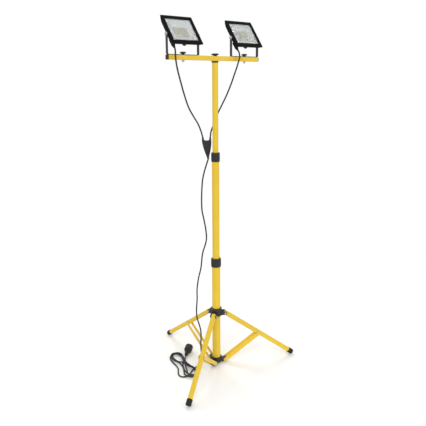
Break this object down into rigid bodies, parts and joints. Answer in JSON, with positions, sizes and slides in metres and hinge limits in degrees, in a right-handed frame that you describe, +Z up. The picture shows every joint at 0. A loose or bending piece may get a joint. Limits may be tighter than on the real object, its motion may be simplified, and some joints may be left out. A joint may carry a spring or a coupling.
{
  "type": "work light",
  "caption": "Twin LED floodlights on a crossbar on a telescopic tripod, with tilting lamps, twist locks, folding legs and a bundled mains lead",
  "frame": {"origin": "on the floor on the mast's axis, at the middle of the mast's end plug", "axes": "+Z up along the mast, X along the crossbar, the lamps face -Y"},
  "size_m": [0.6734, 0.6038, 1.5586],
  "materials": {
    "yellow_paint": "satin powder coat",
    "black_plastic": "fine texture",
    "dark_metal": "satin",
    "black_cast": "satin powder coat",
    "steel": "zinc plated",
    "glass": "clear",
    "reflector": "satin white",
    "rubber": "matt"
  },
  "bodies": {
    "stand": {"mast_lower_tube": "yellow_paint", "mast_end_plug": "black_plastic", "foot_hub": "black_plastic", "lead_main": "rubber", "lead_hank": "rubber", "plug_lead": "rubber", "plug_body": "black_plastic", "plug_pin_a": "steel", "plug_pin_b": "steel"},
    "collar_lower": {"lock_collar_lower": "black_plastic"},
    "leg_slider": {"leg_hub": "black_plastic", "leg_1_pin": "steel", "leg_2_pin": "steel", "leg_3_pin": "steel"},
    "mast_middle": {"mast_middle_tube": "yellow_paint"},
    "collar_upper": {"lock_collar_upper": "black_plastic"},
    "mast_upper": {"mast_upper_tube": "yellow_paint", "mast_top_plug": "black_plastic"},
    "head": {"crossbar": "yellow_paint", "crossbar_cap_left": "black_plastic", "crossbar_cap_right": "black_plastic", "lead_left": "rubber", "lead_right": "rubber", "lead_splitter": "black_plastic"},
    "head_knob": {"mast_knob": "black_plastic"},
    "leg_1": {"leg_1_tube": "yellow_paint", "leg_1_foot": "rubber"},
    "brace_1": {"brace_1_strip_a": "yellow_paint", "brace_1_strip_b": "yellow_paint", "brace_1_pin": "steel"},
    "leg_2": {"leg_2_tube": "yellow_paint", "leg_2_foot": "rubber"},
    "brace_2": {"brace_2_strip_a": "yellow_paint", "brace_2_strip_b": "yellow_paint", "brace_2_pin": "steel"},
    "leg_3": {"leg_3_tube": "yellow_paint", "leg_3_foot": "rubber"},
    "brace_3": {"brace_3_strip_a": "yellow_paint", "brace_3_strip_b": "yellow_paint", "brace_3_pin": "steel"},
    "bracket_left_body": {"bracket_left": "dark_metal", "lamp_left_bolt_a": "steel", "lamp_left_bolt_b": "steel"},
    "knob_left": {"bracket_knob_left": "black_plastic"},
    "lamp_left": {"lamp_left_housing": "black_cast", "lamp_left_bezel": "black_cast", "lamp_left_glass": "glass", "lamp_left_reflector": "reflector", "lamp_left_gland": "black_plastic", "lamp_left_vent": "black_plastic"},
    "bracket_right_body": {"bracket_right": "dark_metal", "lamp_right_bolt_a": "steel", "lamp_right_bolt_b": "steel"},
    "knob_right": {"bracket_knob_right": "black_plastic"},
    "lamp_right": {"lamp_right_housing": "black_cast", "lamp_right_bezel": "black_cast", "lamp_right_glass": "glass", "lamp_right_reflector": "reflector", "lamp_right_gland": "black_plastic", "lamp_right_vent": "black_plastic"}
  },
  "joints": [
    {"name": "hub_slide", "type": "slide", "parent": "stand", "child": "leg_slider", "axis": [0, 0, 1], "range_m": [0, 0.165]},
    {"name": "leg_1_fold", "type": "hinge", "parent": "leg_slider", "child": "leg_1", "pos_m": [-0.00215, 0.04094, 0.25599], "axis": [-0.9986, -0.0523, 0], "range_deg": [0, 46]},
    {"name": "brace_1_fold", "type": "hinge", "parent": "stand", "child": "brace_1", "pos_m": [-0.00215, 0.04094, 0.015], "axis": [0.9986, 0.0523, 0], "range_deg": [0, 46]},
    {"name": "leg_2_fold", "type": "hinge", "parent": "leg_slider", "child": "leg_2", "pos_m": [0.03653, -0.01861, 0.25599], "axis": [0.454, 0.891, 0], "range_deg": [0, 46]},
    {"name": "brace_2_fold", "type": "hinge", "parent": "stand", "child": "brace_2", "pos_m": [0.03653, -0.01861, 0.015], "axis": [-0.454, -0.891, 0], "range_deg": [0, 46]},
    {"name": "leg_3_fold", "type": "hinge", "parent": "leg_slider", "child": "leg_3", "pos_m": [-0.03438, -0.02233, 0.25599], "axis": [0.5446, -0.8387, 0], "range_deg": [0, 46]},
    {"name": "brace_3_fold", "type": "hinge", "parent": "stand", "child": "brace_3", "pos_m": [-0.03438, -0.02233, 0.015], "axis": [-0.5446, 0.8387, 0], "range_deg": [0, 46]},
    {"name": "collar_lower_turn", "type": "hinge", "parent": "stand", "child": "collar_lower", "pos_m": [0, 0, 0.505], "axis": [0, 0, 1], "range_deg": [0, 60]},
    {"name": "mast_middle_slide", "type": "slide", "parent": "stand", "child": "mast_middle", "axis": [0, 0, 1], "range_m": [-0.28, 0], "deforming": ["lead_main", "lead_splitter"]},
    {"name": "collar_upper_turn", "type": "hinge", "parent": "mast_middle", "child": "collar_upper", "pos_m": [0, 0, 0.99], "axis": [0, 0, 1], "range_deg": [0, 60]},
    {"name": "mast_upper_slide", "type": "slide", "parent": "mast_middle", "child": "mast_upper", "axis": [0, 0, 1], "range_m": [-0.28, 0]},
    {"name": "head_swivel", "type": "hinge", "parent": "mast_upper", "child": "head", "pos_m": [0, 0, 1.4], "axis": [0, 0, 1], "range_deg": [-45, 45]},
    {"name": "head_knob_turn", "type": "hinge", "parent": "head", "child": "head_knob", "pos_m": [0, 0, 1.41], "axis": [0, 0, 1], "range_deg": [-180, 180]},
    {"name": "bracket_left_swivel", "type": "hinge", "parent": "head", "child": "bracket_left_body", "pos_m": [-0.1626, 0, 1.41], "axis": [0, 0, 1], "range_deg": [-45, 45]},
    {"name": "bracket_knob_left_turn", "type": "hinge", "parent": "head", "child": "knob_left", "pos_m": [-0.1626, 0, 1.42], "axis": [0, 0, 1], "range_deg": [-180, 180]},
    {"name": "lamp_left_tilt", "type": "hinge", "parent": "bracket_left_body", "child": "lamp_left", "pos_m": [-0.1626, 0, 1.486], "axis": [-1, 0, 0], "range_deg": [-67, 53], "deforming": ["lead_left"]},
    {"name": "bracket_right_swivel", "type": "hinge", "parent": "head", "child": "bracket_right_body", "pos_m": [0.1626, 0, 1.41], "axis": [0, 0, 1], "range_deg": [-45, 45]},
    {"name": "bracket_knob_right_turn", "type": "hinge", "parent": "head", "child": "knob_right", "pos_m": [0.1626, 0, 1.42], "axis": [0, 0, 1], "range_deg": [-180, 180]},
    {"name": "lamp_right_tilt", "type": "hinge", "parent": "bracket_right_body", "child": "lamp_right", "pos_m": [0.1626, 0, 1.486], "axis": [-1, 0, 0], "range_deg": [-67, 53], "deforming": ["lead_right"]}
  ],
  "couplings": [
    {"joint": "leg_1_fold", "follows": "hub_slide", "rad_per_m": 4.865},
    {"joint": "brace_1_fold", "follows": "hub_slide", "rad_per_m": 4.865},
    {"joint": "leg_2_fold", "follows": "hub_slide", "rad_per_m": 4.865},
    {"joint": "brace_2_fold", "follows": "hub_slide", "rad_per_m": 4.865},
    {"joint": "leg_3_fold", "follows": "hub_slide", "rad_per_m": 4.865},
    {"joint": "brace_3_fold", "follows": "hub_slide", "rad_per_m": 4.865}
  ]
}
